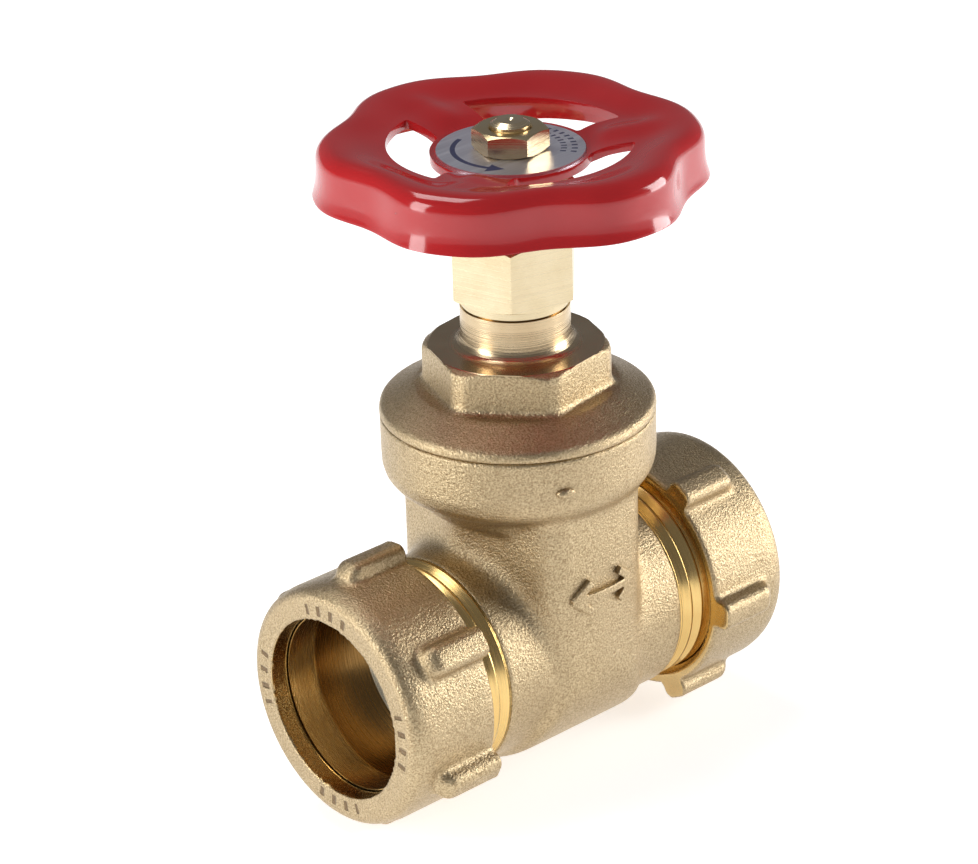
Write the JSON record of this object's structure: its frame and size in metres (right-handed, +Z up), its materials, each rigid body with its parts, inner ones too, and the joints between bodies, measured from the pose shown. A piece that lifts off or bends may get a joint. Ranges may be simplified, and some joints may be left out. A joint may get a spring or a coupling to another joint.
{
  "type": "gate valve",
  "caption": "Cast brass gate valve with compression pipe ends, a screwed bonnet, a non-rising stem and a lobed red handwheel.",
  "frame": {"origin": "where the stem's axis crosses the pipe's axis, in the middle of the waterway", "axes": "+X along the pipe run, +Z up the stem towards the handwheel, +Y across the valve"},
  "size_m": [0.0786, 0.0592, 0.1052],
  "materials": {
    "cast_brass": "shot-blasted casting, machined at the threads and joints",
    "turned_brass": "turned and milled, satin",
    "stem_brass": "turned, bright",
    "red_enamel": "glossy stoved enamel on pressed steel",
    "disc_aluminium": "rolled sheet, lightly brushed",
    "fibre": "compressed fibre sheet",
    "packing": "PTFE packing ring"
  },
  "bodies": {
    "valve": {"valve_body": "cast_brass", "bonnet": "cast_brass", "bonnet_gasket": "fibre", "stuffing_box": "turned_brass", "packing_ring_1": "packing", "packing_ring_2": "packing", "packing_ring_3": "packing"},
    "spindle": {"stem": "stem_brass", "handwheel": "red_enamel", "identification_disc": "disc_aluminium", "handwheel_nut": "turned_brass"},
    "wedge": {"gate": "cast_brass"},
    "gland_bush": {"gland": "turned_brass"},
    "gland_cap": {"gland_nut": "turned_brass"},
    "left_ring": {"compression_ring_left": "stem_brass"},
    "left_nut": {"compression_nut_left": "cast_brass"},
    "right_ring": {"compression_ring_right": "stem_brass"},
    "right_nut": {"compression_nut_right": "cast_brass"}
  },
  "joints": [
    {"name": "handwheel_turn", "type": "hinge", "parent": "valve", "child": "spindle", "pos_m": [0, 0, 0.05], "axis": [0, 0, 1], "range_deg": [-3600, 0]},
    {"name": "gate_lift", "type": "slide", "parent": "valve", "child": "wedge", "axis": [0, 0, 1], "range_m": [-0.02501, 0]},
    {"name": "gland_lift", "type": "slide", "parent": "valve", "child": "gland_bush", "axis": [0, 0, 1], "range_m": [0, 0.00125]},
    {"name": "gland_nut_turn", "type": "hinge", "parent": "gland_bush", "child": "gland_cap", "pos_m": [0, 0, 0.07], "axis": [0, 0, 1], "range_deg": [0, 367]},
    {"name": "left_nut_travel", "type": "slide", "parent": "valve", "child": "left_ring", "axis": [-1, 0, 0], "range_m": [0, 0.0071]},
    {"name": "left_nut_turn", "type": "hinge", "parent": "left_ring", "child": "left_nut", "pos_m": [-0.03, 0, 0], "axis": [-1, 0, 0], "range_deg": [0, 1080]},
    {"name": "right_nut_travel", "type": "slide", "parent": "valve", "child": "right_ring", "axis": [1, 0, 0], "range_m": [0, 0.0071]},
    {"name": "right_nut_turn", "type": "hinge", "parent": "right_ring", "child": "right_nut", "pos_m": [0.03, 0, 0], "axis": [1, 0, 0], "range_deg": [0, 1080]}
  ],
  "couplings": [
    {"joint": "gate_lift", "follows": "handwheel_turn", "m_per_rad": 0.00039789},
    {"joint": "gland_nut_turn", "follows": "gland_lift", "rad_per_m": 5026.5},
    {"joint": "left_nut_travel", "follows": "left_nut_turn", "m_per_rad": 0.00036749},
    {"joint": "right_nut_travel", "follows": "right_nut_turn", "m_per_rad": 0.00036749}
  ]
}
